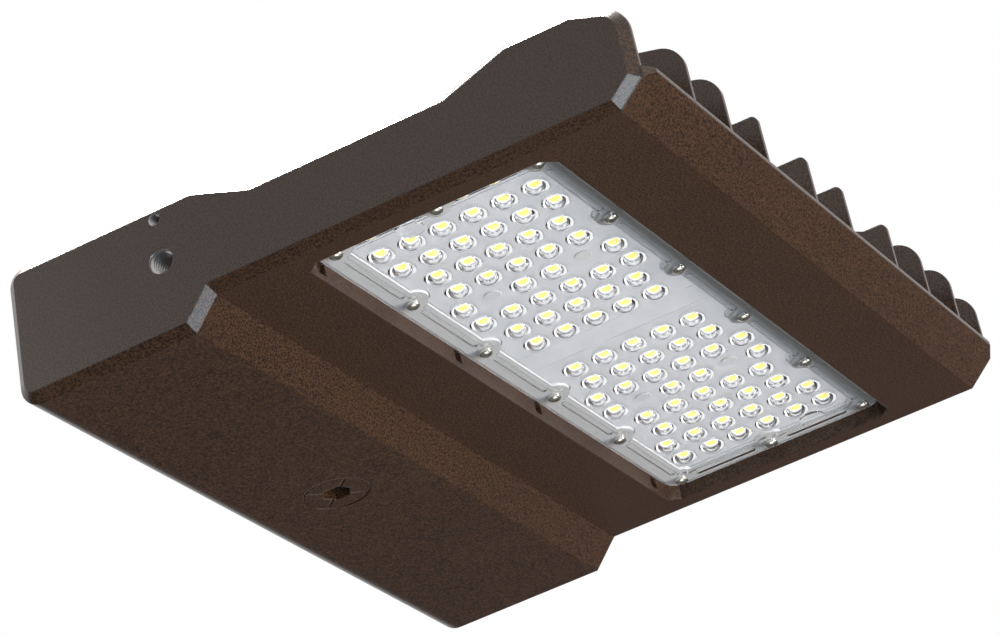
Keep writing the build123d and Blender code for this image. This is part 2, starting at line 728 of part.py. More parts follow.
# Terminal block: three poles, with two screw ears
with BuildPart() as terminal_block:
    with BuildSketch(level(BRACKET_BOTTOM_Z)):
        with Locations(((BLOCK_SCREWS[0][0] + BLOCK_SCREWS[1][0]) / 2, BLOCK_Y)):
            SlotOverall(BLOCK_SCREWS[0][0] - BLOCK_SCREWS[1][0] + 9, 9)
        with Locations(*BLOCK_SCREWS):
            Circle(CHASSIS_HOLE_RADIUS, mode=Mode.SUBTRACT)
    extrude(amount=SHEET)
    with BuildSketch(level(BRACKET_BOTTOM_Z)):
        with Locations((BLOCK_X, BLOCK_Y)):
            Rectangle(BLOCK_WIDTH, BLOCK_LENGTH)
    extrude(amount=BLOCK_HEIGHT)
    with BuildSketch(level(BLOCK_TOP_Z)):
        with Locations((BLOCK_X, BLOCK_Y)):
            with GridLocations(7, 9, 3, 2):
                Circle(2)
    extrude(amount=-5, mode=Mode.SUBTRACT)
save(terminal_block, "terminal_block")

# Screws on the box floor: bracket, surge protector and terminal block
chassis_screw = turned(
    pan_screw(
        CHASSIS_HEAD_RADIUS,
        CHASSIS_HEAD,
        CHASSIS_SCREW_RADIUS,
        BRACKET_BOTTOM_Z + SHEET - CAVITY_FLOOR_Z + 0.6,
        2.0,
    )
)
with BuildPart() as chassis_screws:
    spots = [*BRACKET_SCREWS, *SURGE_SCREWS, *BLOCK_SCREWS]
    with Locations(*[place(x, y, BRACKET_BOTTOM_Z + SHEET) for x, y in spots]):
        add(chassis_screw)
save(chassis_screws, "chassis_screws")

# Ring terminal with its wire, and the ground screw through it
with BuildPart() as ground_wire:
    with BuildSketch(level(BRACKET_BOTTOM_Z)):
        with Locations((GROUND_X, GROUND_Y)):
            Circle(RING_TERMINAL_RADIUS)
        with Locations((GROUND_X - RING_TERMINAL_RADIUS - 1.3, GROUND_Y)):
            Rectangle(5, 4)
        with Locations((GROUND_X, GROUND_Y)):
            Circle(CHASSIS_HOLE_RADIUS, mode=Mode.SUBTRACT)
    extrude(amount=RING_TERMINAL)
    add(
        wire(
            [
                (GROUND_X - 6.5, GROUND_Y, BRACKET_BOTTOM_Z + RING_TERMINAL),
                (GROUND_X - 19, GROUND_Y, BRACKET_BOTTOM_Z + 3),
                (BLOCK_X + 7, BLOCK_Y + 22, BRACKET_BOTTOM_Z + 8),
                (BLOCK_X + 7, BLOCK_Y + BLOCK_LENGTH / 2, BRACKET_BOTTOM_Z + 8),
            ],
            7,
            LINE_WIRE_RADIUS,
        )
    )
save(ground_wire, "ground_wire")

with BuildPart() as ground_screw:
    with Locations(place(GROUND_X, GROUND_Y, BRACKET_BOTTOM_Z + RING_TERMINAL)):
        add(chassis_screw)
save(ground_screw, "ground_screw")

# Mains wires between terminal block, driver and surge protector
with BuildPart() as line_wires:
    for offset in (0.0, 4.0):
        add(
            wire(
                [
                    (12 + offset, DRIVER_FAR_Y, 12),
                    (12 + offset, -14, 12),
                    (4.5 + offset, 6, 12),
                    (4.5 + offset, 70, 8),
                    (BLOCK_X - 7 + offset * 1.75, 84, 3),
                    (BLOCK_X - 7 + offset * 1.75, BLOCK_Y - BLOCK_LENGTH / 2, 3),
                ],
                9,
                LINE_WIRE_RADIUS,
            )
        )
save(line_wires, "line_wires")

# Leads from the driver through the wireway to the link board, one above the other
with BuildPart() as dc_leads:
    for tier in (-1, 1):
        lead_z = DUCT_BORE_Z + tier * LEAD_HALF_GAP
        drop_x = DUCT_DROP_X + tier * 1.1
        add(
            wire(
                [
                    (38, DRIVER_NEAR_Y, lead_z),
                    (38, DRIVER_NEAR_Y - 10, lead_z),
                    (53.2, DRIVER_NEAR_Y - 10, lead_z),
                    (53.2, -30, lead_z),
                    (44.5, -14, lead_z),
                    (44.5, 0, lead_z),
                    (drop_x, 0, lead_z),
                    (drop_x, 0, BOARD_BACK_Z),
                ],
                [6.5, 6.5, 6.5, 6.5, 6.5, 2.2],
                LEAD_RADIUS,
            )
        )
save(dc_leads, "dc_leads")

# Grommet where the leads enter the wireway
with BuildPart() as wireway_grommet:
    with BuildSketch(wall_face(CAVITY_FRONT_X)):
        with Locations((0, DUCT_BORE_Z)):
            Circle(DUCT_BORE_RADIUS)
            Circle(DUCT_BORE_RADIUS - 0.9, mode=Mode.SUBTRACT)
    extrude(amount=BOX_FRONT_X - CAVITY_FRONT_X)
    with BuildSketch(wall_face(CAVITY_FRONT_X)):
        with Locations((0, DUCT_BORE_Z)):
            Circle(DUCT_BORE_RADIUS + 1.8)
            Circle(DUCT_BORE_RADIUS - 0.9, mode=Mode.SUBTRACT)
    extrude(amount=-1.2)
save(wireway_grommet, "wireway_grommet")

# Breather vent: stem in the box wall, grooved cap outside
with BuildPart() as breather_vent:
    with BuildSketch(wall_face(BOX_FRONT_X - 5)):
        with Locations((VENT_Y, VENT_Z)):
            Circle(VENT_RADIUS - RUNNING_CLEARANCE)
            Circle(2.0, mode=Mode.SUBTRACT)
    extrude(amount=5)
    with BuildSketch(wall_face(BOX_FRONT_X)):
        with Locations((VENT_Y, VENT_Z)):
            Circle(8)
    extrude(amount=4)
    fillet(breather_vent.edges().group_by(Axis.X)[-1], 1)
    with BuildSketch(wall_face(BOX_FRONT_X + 1.2)):
        with Locations((VENT_Y, VENT_Z)):
            Rectangle(20, 2)
            Rectangle(2, 20)
            Circle(6, mode=Mode.SUBTRACT)
    extrude(amount=1.6, mode=Mode.SUBTRACT)
save(breather_vent, "breather_vent")


# Thermal pads, LED boards and LEDs, near and far
for side, place_name in ((-1, "near"), (1, "far")):
    with BuildPart() as thermal_pad:
        with BuildSketch(level(BOARD_BACK_Z)):
            add(board_face(side, -0.8))
            with Locations(*rivet_spots(side)):
                Circle(BOARD_HOLE_RADIUS, mode=Mode.SUBTRACT)
        extrude(amount=POCKET_FLOOR_Z - BOARD_BACK_Z)
    save(thermal_pad, f"thermal_pad_{place_name}")

    with BuildPart() as led_board:
        with BuildSketch(level(BOARD_FRONT_Z)):
            add(board_face(side, 0))
            with Locations(*rivet_spots(side)):
                Circle(BOARD_HOLE_RADIUS, mode=Mode.SUBTRACT)
        extrude(amount=BOARD_THICKNESS)
    save(led_board, f"led_board_{place_name}")

    with BuildPart() as leds:
        with BuildSketch(level(BOARD_FRONT_Z)):
            with Locations(*led_spots(side)):
                Rectangle(LED_SIZE, LED_SIZE)
        extrude(amount=-LED_HEIGHT)
    save(leds, f"leds_{place_name}")

# Link board between the two LED boards, where the leads are soldered
with BuildPart() as link_board:
    with BuildSketch(level(BOARD_FRONT_Z)):
        with Locations((FIELD_X, 0)):
            Rectangle(2 * BOARD_HALF_X, 2 * BOARD_INNER_Y - 0.4)
    extrude(amount=BOARD_THICKNESS)
save(link_board, "link_board")

# Four moulded rivets that hold the boards: flat head, split shank
with BuildPart() as board_rivets:
    spots = rivet_spots(-1) + rivet_spots(1)
    with BuildSketch(level(BOARD_FRONT_Z)):
        with Locations(*spots):
            Circle(RIVET_HEAD_RADIUS)
    extrude(amount=-RIVET_HEAD)
    fillet(board_rivets.edges().group_by(Axis.Z)[0], RIVET_HEAD / 3)
    with BuildSketch(level(BOARD_FRONT_Z)):
        with Locations(*spots):
            Circle(RIVET_RADIUS)
    extrude(amount=LENS_SCREW_TIP_Z - BOARD_FRONT_Z)
    with BuildSketch(level(RIVET_SPLIT_Z)):
        with Locations(*spots):
            Rectangle(RIVET_SPLIT, 2 * RIVET_RADIUS + 1)
    extrude(amount=LENS_SCREW_TIP_Z - RIVET_SPLIT_Z, mode=Mode.SUBTRACT)
save(board_rivets, "board_rivets")

# Lens gasket: moulded ring on the seat, with an ear round each screw
with BuildPart() as lens_gasket:
    with BuildSketch(level(LENS_BORDER_BACK_Z)):
        with Locations((LENS_X, 0)):
            RectangleRounded(2 * LENS_HALF_X - 1, 2 * LENS_HALF_Y - 1, LENS_CORNER)
        with Locations((FIELD_X, 0)):
            Rectangle(2 * POCKET_HALF_X, 2 * POCKET_HALF_Y, mode=Mode.SUBTRACT)
        with Locations(*lens_screw_spots()):
            Circle(SCREW_BUMP_RADIUS)
            Circle(LENS_SCREW_RADIUS + 0.3, mode=Mode.SUBTRACT)
        with Locations((LENS_X, 0)):
            Rectangle(2 * LENS_HALF_X - 1, 2 * LENS_HALF_Y - 1, mode=Mode.INTERSECT)
    extrude(amount=SEAT_LEDGE_Z - LENS_BORDER_BACK_Z)
save(lens_gasket, "lens_gasket")

# Optic panel: clear plate with a raised border and ears round its screws, channels along the
# border, two gate pads, and a hollow oval dome over each LED
dome, dome_round = cap_of(*DOME)
cavity, cavity_round = cap_of(*DOME_CAVITY)
all_leds = led_spots(-1) + led_spots(1)
with BuildPart() as lens_panel:
    with BuildSketch(level(LENS_FRONT_Z)):
        with Locations((LENS_X, 0)):
            RectangleRounded(2 * LENS_HALF_X, 2 * LENS_HALF_Y, LENS_CORNER)
    extrude(amount=LENS_BORDER_BACK_Z - LENS_FRONT_Z)
    with BuildSketch(level(LENS_BACK_Z)):
        with Locations((FIELD_X, 0)):
            Rectangle(2 * POCKET_HALF_X, 2 * POCKET_HALF_Y)
        with Locations(*lens_screw_spots()):
            Circle(SCREW_BUMP_RADIUS, mode=Mode.SUBTRACT)
    extrude(amount=LENS_BORDER_BACK_Z - LENS_BACK_Z, mode=Mode.SUBTRACT)

    # Domes, then the raised border with its ears and the gate pads
    with Locations(*[place(x, y, LENS_FRONT_Z + dome_round - DOME[2]) for x, y in all_leds]):
        add(dome)
    with BuildSketch(level(LENS_BORDER_FRONT_Z)):
        with Locations((LENS_X, 0)):
            RectangleRounded(2 * LENS_HALF_X, 2 * LENS_HALF_Y, LENS_CORNER)
            Rectangle(
                2 * LENS_HALF_X - 2 * LENS_BORDER,
                2 * LENS_HALF_Y - 2 * LENS_BORDER,
                mode=Mode.SUBTRACT,
            )
        with Locations(*lens_screw_spots()):
            Circle(LENS_EAR_RADIUS)
        with Locations(*GATE_SPOTS):
            Circle(GATE_RADIUS)
    extrude(amount=LENS_FRONT_Z - LENS_BORDER_FRONT_Z)
    with BuildSketch(level(LENS_BORDER_FRONT_Z)):
        with Locations(*GATE_SPOTS):
            Circle(GATE_RADIUS)
    extrude(amount=-DOME[2], mode=Mode.SUBTRACT)

    # Step along the outer rim, and the channels between the screws
    with BuildSketch(level(LENS_BORDER_FRONT_Z)):
        with Locations((LENS_X, 0)):
            RectangleRounded(2 * LENS_HALF_X + 2, 2 * LENS_HALF_Y + 2, LENS_CORNER + 1)
            RectangleRounded(
                2 * LENS_HALF_X - 2 * LENS_RIM_WIDTH,
                2 * LENS_HALF_Y - 2 * LENS_RIM_WIDTH,
                LENS_CORNER - LENS_RIM_WIDTH,
                mode=Mode.SUBTRACT,
            )
    extrude(amount=LENS_RIM_STEP, mode=Mode.SUBTRACT)
    with BuildSketch(level(LENS_BORDER_FRONT_Z)):
        for x, y, length, turn in border_channels():
            with Locations((x, y)):
                SlotOverall(length, CHANNEL_WIDTH, rotation=turn)
    extrude(amount=CHANNEL_DEPTH, mode=Mode.SUBTRACT)

    # Cavities behind the domes, and the screw holes
    with Locations(*[place(x, y, LENS_BACK_Z + cavity_round - DOME_CAVITY[2]) for x, y in all_leds]):
        add(cavity, mode=Mode.SUBTRACT)
    with BuildSketch(level(LENS_BORDER_FRONT_Z)):
        with Locations(*lens_screw_spots()):
            Circle(LENS_SCREW_RADIUS + 0.3)
    extrude(amount=LENS_BORDER_BACK_Z - LENS_BORDER_FRONT_Z, mode=Mode.SUBTRACT)
save(lens_panel, "lens_panel")

# Fourteen optic panel screws
lens_screw = pan_screw(
    LENS_SCREW_HEAD_RADIUS,
    LENS_SCREW_HEAD,
    LENS_SCREW_RADIUS,
    LENS_SCREW_TIP_Z - LENS_BORDER_FRONT_Z,
    1.7,
)
with BuildPart() as lens_screws:
    with Locations(*[place(x, y, LENS_BORDER_FRONT_Z) for x, y in lens_screw_spots()]):
        add(lens_screw)
save(lens_screws, "lens_screws")

# Sensor port plug, and the seal under its flange
with BuildPart() as sensor_plug:
    with BuildSketch(level(PLUG_FACE_Z)):
        with Locations((PORT_X, 0)):
            Circle(PLUG_FLANGE_RADIUS)
    extrude(amount=PLUG_FLANGE)
    fillet(sensor_plug.edges().group_by(Axis.Z)[0], 0.4)
    with BuildSketch(level(PLUG_SHOULDER_Z)):
        with Locations((PORT_X, 0)):
            Circle(PORT_RADIUS - RUNNING_CLEARANCE)
    extrude(amount=PORT_BOSS_TOP_Z - PLUG_SHOULDER_Z - 0.5)
    with BuildSketch(level(PLUG_FACE_Z)):
        with Locations((PORT_X, 0)):
            RegularPolygon(PLUG_HEX_RADIUS, 6)
    extrude(amount=PLUG_HEX_DEPTH, mode=Mode.SUBTRACT)
    with BuildSketch(level(PLUG_FACE_Z)):
        with Locations((PORT_X, 0)):
            for turn in (0, 90):
                Rectangle(2 * PLUG_FLANGE_RADIUS - 2, PLUG_GROOVE_WIDTH, rotation=turn + 45)
    extrude(amount=PLUG_GROOVE_DEPTH, mode=Mode.SUBTRACT)
save(sensor_plug, "sensor_plug")

with BuildPart() as plug_seal:
    with BuildSketch(level(PLUG_SHOULDER_Z)):
        with Locations((PORT_X, 0)):
            Circle(PORT_RADIUS + 2.4)
            Circle(PORT_RADIUS + RUNNING_CLEARANCE, mode=Mode.SUBTRACT)
    extrude(amount=PORT_SINK_Z - PLUG_SHOULDER_Z)
save(plug_seal, "plug_seal")
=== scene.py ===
import json
import math

import bmesh
import bpy
from mathutils import Matrix, Vector


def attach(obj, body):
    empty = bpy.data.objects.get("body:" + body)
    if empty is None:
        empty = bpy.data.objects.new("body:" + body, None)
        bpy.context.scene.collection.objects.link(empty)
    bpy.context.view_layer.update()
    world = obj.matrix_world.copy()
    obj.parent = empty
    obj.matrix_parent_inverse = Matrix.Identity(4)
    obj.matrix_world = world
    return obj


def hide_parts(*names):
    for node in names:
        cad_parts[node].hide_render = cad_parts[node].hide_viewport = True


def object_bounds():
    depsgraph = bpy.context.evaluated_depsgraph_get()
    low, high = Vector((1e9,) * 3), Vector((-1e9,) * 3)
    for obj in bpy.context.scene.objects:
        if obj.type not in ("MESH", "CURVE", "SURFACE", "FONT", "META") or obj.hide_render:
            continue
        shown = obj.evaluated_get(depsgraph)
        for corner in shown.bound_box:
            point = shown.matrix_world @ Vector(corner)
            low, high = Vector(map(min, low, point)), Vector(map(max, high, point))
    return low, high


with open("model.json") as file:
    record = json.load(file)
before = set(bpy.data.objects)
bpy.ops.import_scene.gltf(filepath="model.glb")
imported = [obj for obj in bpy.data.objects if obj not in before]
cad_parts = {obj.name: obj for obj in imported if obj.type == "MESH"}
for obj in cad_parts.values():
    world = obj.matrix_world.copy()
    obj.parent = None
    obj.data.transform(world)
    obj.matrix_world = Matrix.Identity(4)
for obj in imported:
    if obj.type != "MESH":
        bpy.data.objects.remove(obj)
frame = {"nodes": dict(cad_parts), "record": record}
CAD_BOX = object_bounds()
NODES = frame["nodes"]
MM = 0.001

# Lengths of the casting in millimetres, from its rear end, its middle and the plate's underside
TILT_X = 53.9
TILT_Z = 20.3
LOCK_X = 54.3
LOCK_Z = 37.6
HALF_WIDTH = 165
PIVOT_RADIUS = 5.0
PIVOT_DEPTH = 14.0
PIVOT_PITCH = 1.5
LOCK_RADIUS = 2.5
LOCK_DEPTH = 11.0
LOCK_PITCH = 0.8


def place(x, y, z):
    """A point of the casting, in millimetres, in the part's frame in metres."""
    return Vector((x - TILT_X, y, z - TILT_Z)) * MM


# Node graph helpers
class Graph:
    """A material's node tree, with short calls to add nodes and wire them up."""

    def __init__(self, name):
        self.material = bpy.data.materials.new(name)
        self.material.use_nodes = True
        self.tree = self.material.node_tree
        self.tree.nodes.clear()
        self.output = self.tree.nodes.new("ShaderNodeOutputMaterial")

    def node(self, kind, **settings):
        made = self.tree.nodes.new("ShaderNode" + kind)
        for key, value in settings.items():
            setattr(made, key, value)
        return made

    def wire(self, source, target):
        self.tree.links.new(source, target)

    def where(self):
        """The point being shaded, in metres, in the part's frame."""
        return self.node("TexCoord").outputs["Object"]

    def noise(self, size, detail=3.0, rough=0.55):
        """Soft noise whose blotches are about size metres across."""
        made = self.node("TexNoise")
        made.inputs["Scale"].default_value = 1.0 / size
        made.inputs["Detail"].default_value = detail
        made.inputs["Roughness"].default_value = rough
        self.wire(self.where(), made.inputs["Vector"])
        return made.outputs["Fac"]

    def ramp(self, value, stops):
        """A colour ramp through (position, colour) stops."""
        made = self.node("ValToRGB")
        ramp = made.color_ramp
        while len(ramp.elements) < len(stops):
            ramp.elements.new(0.5)
        for element, (position, colour) in zip(ramp.elements, stops):
            element.position = position
            element.color = (*colour, 1.0)
        self.wire(value, made.inputs["Fac"])
        return made.outputs["Color"]

    def spread(self, value, low, high, to_low, to_high):
        """Carries a value from one range to another, clamped."""
        made = self.node("MapRange")
        made.inputs["From Min"].default_value = low
        made.inputs["From Max"].default_value = high
        made.inputs["To Min"].default_value = to_low
        made.inputs["To Max"].default_value = to_high
        self.wire(value, made.inputs["Value"])
        return made.outputs["Result"]

    def maths(self, operation, first, second):
        """One maths node of two values, each a socket or a number."""
        made = self.node("Math", operation=operation)
        for slot, value in zip(made.inputs, (first, second)):
            if isinstance(value, (int, float)):
                slot.default_value = value
            else:
                self.wire(value, slot)
        return made.outputs["Value"]

    def mix(self, factor, first, second):
        """A mix of two colours, each a socket or a colour, by a factor socket."""
        made = self.node("Mix", data_type="RGBA")
        self.wire(factor, made.inputs[0])
        for slot, value in ((made.inputs[6], first), (made.inputs[7], second)):
            if isinstance(value, tuple):
                slot.default_value = (*value, 1.0)
            else:
                self.wire(value, slot)
        return made.outputs[2]

    def bump(self, height, depth, strength=1.0, normal=None):
        """A bump from a height socket, depth metres deep."""
        made = self.node("Bump")
        made.inputs["Strength"].default_value = strength
        made.inputs["Distance"].default_value = depth
        self.wire(height, made.inputs["Height"])
        if normal is not None:
            self.wire(normal, made.inputs["Normal"])
        return made.outputs["Normal"]

    def surface(self, colour, rough, metal=0.0, normal=None, **values):
        """A Principled shader as the surface; colour, rough and metal are sockets or values."""
        shader = self.node("BsdfPrincipled")
        for name, value in (("Base Color", colour), ("Roughness", rough), ("Metallic", metal)):
            if isinstance(value, tuple):
                shader.inputs[name].default_value = (*value, 1.0)
            elif isinstance(value, (int, float)):
                shader.inputs[name].default_value = value
            else:
                self.wire(value, shader.inputs[name])
        if normal is not None:
            self.wire(normal, shader.inputs["Normal"])
        for name, value in values.items():
            shader.inputs[name.replace("_", " ")].default_value = value
        self.wire(shader.outputs["BSDF"], self.output.inputs["Surface"])
        return shader


# Materials
COAT_DARK = (0.0160, 0.0080, 0.0043)
COAT_LIGHT = (0.0960, 0.0480, 0.0254)
BARE_METAL = (0.62, 0.62, 0.63)
HOUSING_ROUGH = 0.30
GRAIN = 0.75 * MM
DRIFT = 60 * MM
COARSE_PEEL = 2.8 * MM
PEEL_DEPTH = 0.07 * MM
EDGE_ROUND = 0.8 * MM
BORE_MARGIN = 0.1
BORE_INNER_Y = 100 * MM
BORE_OUTER_Y = (HALF_WIDTH - 0.1) * MM
SEAT_LOW = place(103, -153, 8.0)
SEAT_HIGH = place(207.5, 153, 10.2)
BOARD_LOW = (0.36, 0.36, 0.37)
BOARD_HIGH = (0.42, 0.41, 0.41)


def coat_colour(g):
    """Bronze powder coat: two close browns in fine grain, with slow drifts of tone."""
    grain = g.noise(GRAIN, 1.0)
    drift = g.noise(DRIFT, 2.0)
    speckle = g.spread(grain, 0.39, 0.61, 0.0, 1.0)
    mixed = g.maths("ADD", speckle, g.spread(drift, 0.3, 0.7, -0.04, 0.04))
    return g.ramp(mixed, [(0.0, COAT_DARK), (1.0, COAT_LIGHT)])


def coat_normal(g):
    """Fine orange peel over slightly rounded edges."""
    rounded = g.node("Bevel", samples=4)
    rounded.inputs["Radius"].default_value = EDGE_ROUND
    coarse = g.maths("MULTIPLY", g.noise(COARSE_PEEL, 2.0), 0.5)
    peel = g.maths("ADD", g.noise(GRAIN, 2.0, 0.5), coarse)
    return g.bump(peel, PEEL_DEPTH, 0.5, rounded.outputs["Normal"])


def powder_coat(name):
    """Plain powder-coated casting."""
    g = Graph(name)
    rough = g.spread(g.noise(1.2 * MM), 0.3, 0.7, 0.27, 0.33)
    g.surface(coat_colour(g), rough, 0.0, coat_normal(g), Specular_IOR_Level=0.5)
    return g.material


def inside_box(g, low, high):
    """1 inside a box of the part's frame, 0 outside."""
    split = g.node("SeparateXYZ")
    g.wire(g.where(), split.inputs["Vector"])
    mask = None
    for axis, lo, hi in zip("XYZ", low, high):
        here = g.maths("MULTIPLY", g.maths("GREATER_THAN", split.outputs[axis], lo),
                       g.maths("LESS_THAN", split.outputs[axis], hi))
        mask = here if mask is None else g.maths("MULTIPLY", mask, here)
    return mask


def inside_bore(g, centre, radius):
    """1 in the tapped hole of each side wall, round an axis along Y through centre."""
    split = g.node("SeparateXYZ")
    g.wire(g.where(), split.inputs["Vector"])
    dx = g.maths("SUBTRACT", split.outputs["X"], centre.x)
    dz = g.maths("SUBTRACT", split.outputs["Z"], centre.z)
    square = g.maths("ADD", g.maths("MULTIPLY", dx, dx), g.maths("MULTIPLY", dz, dz))
    close = g.maths("LESS_THAN", square, ((radius + BORE_MARGIN) * MM) ** 2)
    reach = g.maths("ABSOLUTE", split.outputs["Y"], 0.0)
    band = g.maths("MULTIPLY", g.maths("GREATER_THAN", reach, BORE_INNER_Y),
                   g.maths("LESS_THAN", reach, BORE_OUTER_Y))
    return g.maths("MULTIPLY", close, band)


def housing_coat():
    """Powder coat, left off the machined lens seat and the tapped holes."""
    g = Graph("housing_coat")
    seat = inside_box(g, SEAT_LOW, SEAT_HIGH)
    pivot = inside_bore(g, place(TILT_X, 0, TILT_Z), PIVOT_RADIUS)
    lock = inside_bore(g, place(LOCK_X, 0, LOCK_Z), LOCK_RADIUS)
    bare = g.maths("MAXIMUM", seat, g.maths("MAXIMUM", pivot, lock))
    colour = g.mix(bare, coat_colour(g), BARE_METAL)
    g.surface(colour, HOUSING_ROUGH, bare, coat_normal(g), Specular_IOR_Level=0.5)
    return g.material


def moulded(name, colour, rough=0.5, grain=0.5 * MM, depth=0.03 * MM):
    """Moulded plastic or rubber with a fine even grain."""
    g = Graph(name)
    tone = g.spread(g.noise(grain), 0.3, 0.7, 0.0, 1.0)
    darker = tuple(0.88 * c for c in colour)
    g.surface(g.mix(tone, darker, colour), rough, 0.0, g.bump(g.noise(grain), depth))
    return g.material


def metal(name, colour, rough, grain=0.4 * MM):
    """Bare metal with faint smears."""
    g = Graph(name)
    smear = g.spread(g.noise(grain), 0.3, 0.7, rough * 0.8, rough * 1.25)
    g.surface(colour, smear, 1.0, g.bump(g.noise(grain * 0.5), 0.004 * MM))
    return g.material


def clear_lens():
    """Clear moulded plastic that lets lamp light through to the boards."""
    g = Graph("clear_lens")
    shader = g.surface((0.97, 0.98, 1.0), 0.03, 0.0, g.bump(g.noise(6 * MM), 0.01 * MM, 0.3),
                       Transmission_Weight=1.0, IOR=1.45)
    through = g.node("BsdfTransparent")
    mixed = g.node("MixShader")
    g.wire(g.node("LightPath").outputs["Is Shadow Ray"], mixed.inputs[0])
    g.wire(shader.outputs["BSDF"], mixed.inputs[1])
    g.wire(through.outputs["BSDF"], mixed.inputs[2])
    g.wire(mixed.outputs["Shader"], g.output.inputs["Surface"])
    return g.material


def white_board():
    """White solder mask, slightly mottled."""
    g = Graph("board_white")
    tone = g.spread(g.noise(9 * MM, 3.0), 0.3, 0.7, 0.0, 1.0)
    colour = g.mix(tone, BOARD_LOW, BOARD_HIGH)
    g.surface(colour, 0.35, 0.0, g.bump(g.noise(3 * MM), 0.02 * MM))
    return g.material


MATERIALS = {
    "powder_coat": powder_coat("powder_coat"),
    "plug_metal": powder_coat("plug_coat"),
    "clear_lens": clear_lens(),
    "board_white": white_board(),
    "led_package": moulded("led_package", (0.95, 0.80, 0.25), 0.4),
    "bright_screw": metal("bright_screw", (0.90, 0.87, 0.80), 0.22),
    "plated_screw": metal("plated_screw", (0.52, 0.52, 0.53), 0.30),
    "seal_silicone": moulded("seal_silicone", (0.74, 0.73, 0.72), 0.6),
    "sheet_metal": metal("sheet_metal", (0.58, 0.59, 0.60), 0.35, 2 * MM),
    "driver_case": metal("driver_case", (0.66, 0.67, 0.69), 0.40, 1.5 * MM),
    "moulded_black": moulded("moulded_black", (0.016, 0.016, 0.017)),
    "moulded_white": moulded("moulded_white", (0.39, 0.38, 0.37)),
    "wire_black": moulded("wire_black", (0.014, 0.014, 0.015), 0.4),
    "wire_green": moulded("wire_green", (0.02, 0.16, 0.045), 0.4),
    "ground_brass": metal("ground_brass", (0.70, 0.50, 0.20), 0.25),
    "thermal_pad": moulded("thermal_pad", (0.36, 0.46, 0.56), 0.8),
}


def finish_cad_nodes():
    """Gives every CAD node the material of its slot in the record."""
    for entry in frame["record"]["subparts"]:
        node = NODES[entry["node"]]
        node.data.materials.clear()
        node.data.materials.append(MATERIALS[entry["material_slot"]])
    NODES["housing"].data.materials[0] = housing_coat()


finish_cad_nodes()


# Pieces built here
SAME_POINT = 1e-6


def islands(node):
    """Box of each separate solid of a CAD node, as (low, high) corners."""
    grid = bmesh.new()
    grid.from_mesh(NODES[node].data)
    bmesh.ops.remove_doubles(grid, verts=grid.verts, dist=SAME_POINT)
    left = set(grid.verts)
    boxes = []
    while left:
        seen = [left.pop()]
        for vert in seen:
            for edge in vert.link_edges:
                other = edge.other_vert(vert)
                if other in left:
                    left.remove(other)
                    seen.append(other)
        low = Vector(min(v.co[i] for v in seen) for i in range(3))
        high = Vector(max(v.co[i] for v in seen) for i in range(3))
        boxes.append((low, high))
    grid.free()
    return sorted(boxes, key=lambda box: tuple(round(value, 5) for value in box[0]))


def add_piece(name, grid, materials, body, smooth_angle=40.0):
    """Turns a bmesh into a piece that rides on a body."""
    bmesh.ops.recalc_face_normals(grid, faces=grid.faces)
    mesh = bpy.data.meshes.new(name)
    grid.to_mesh(mesh)
    grid.free()
    piece = bpy.data.objects.new(name, mesh)
    bpy.context.scene.collection.objects.link(piece)
    for material in materials:
        mesh.materials.append(material)
    mesh.shade_smooth()
    mesh.set_sharp_from_angle(angle=math.radians(smooth_angle))
    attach(piece, body)
    return piece


def ring_of(grid, points):
    """Vertices at the given points."""
    return [grid.verts.new(point) for point in points]


def bridge(grid, first, second):
    """Faces between two closed rows of vertices of the same length."""
    count = len(first)
    for i in range(count):
        j = (i + 1) % count
        grid.faces.new((first[i], first[j], second[j], second[i]))


def cap(grid, ring, material=0):
    """One face over a ring."""
    grid.faces.new(ring).material_index = material


def rounded_square(half, corner, notch=0.0, steps=4):
    """Outline of a square with rounded corners; notch cuts the second one off straight."""
    points = []
    for quarter, (sx, sy) in enumerate(((1, 1), (-1, 1), (-1, -1), (1, -1))):
        cut = quarter == 1 and notch > 0
        size = notch if cut else corner
        cx, cy = sx * (half - size), sy * (half - size)
        for step in range(steps + 1):
            turn = math.radians(90 * quarter + 90 * step / steps)
            reach = size
            if cut:
                reach = size / (abs(math.cos(turn)) + abs(math.sin(turn)))
            points.append((cx + reach * math.cos(turn), cy + reach * math.sin(turn)))
    return points


LED_BODY = moulded("led_body", (0.84, 0.83, 0.80), 0.35)
LED_PHOSPHOR = moulded("led_phosphor", (0.81, 0.66, 0.12), 0.30, 0.15 * MM)
LED_HALF = 2.5
LED_CORNER = 0.3
LED_EDGE = 0.1
LED_WINDOW_HALF = 2.05
LED_WINDOW_CORNER = 0.45
LED_NOTCH = 1.2
LED_SINK = 0.15


def build_leds(side):
    """LED packages: a white body with a sunk yellow phosphor that has one corner cut off."""
    node = "leds_" + side
    grid = bmesh.new()
    for low, high in islands(node):
        middle = (low + high) / 2
        rows = ((LED_HALF, LED_CORNER, 0.0, high.z),
                (LED_HALF, LED_CORNER, 0.0, low.z + LED_EDGE * MM),
                (LED_HALF - LED_EDGE, LED_CORNER, 0.0, low.z),
                (LED_WINDOW_HALF, LED_WINDOW_CORNER, LED_NOTCH, low.z),
                (LED_WINDOW_HALF - LED_EDGE, LED_WINDOW_CORNER, LED_NOTCH, low.z + LED_SINK * MM))
        rings = []
        for half, corner, notch, height in rows:
            rings.append(ring_of(grid, [(middle.x + x * MM, middle.y + y * MM, height)
                                        for x, y in rounded_square(half, corner, notch)]))
        for first, second in zip(rings, rings[1:]):
            bridge(grid, first, second)
        cap(grid, rings[0])
        cap(grid, rings[-1], 1)
    piece = add_piece("led_packages_" + side, grid, (LED_BODY, LED_PHOSPHOR), "head")
    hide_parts(node)


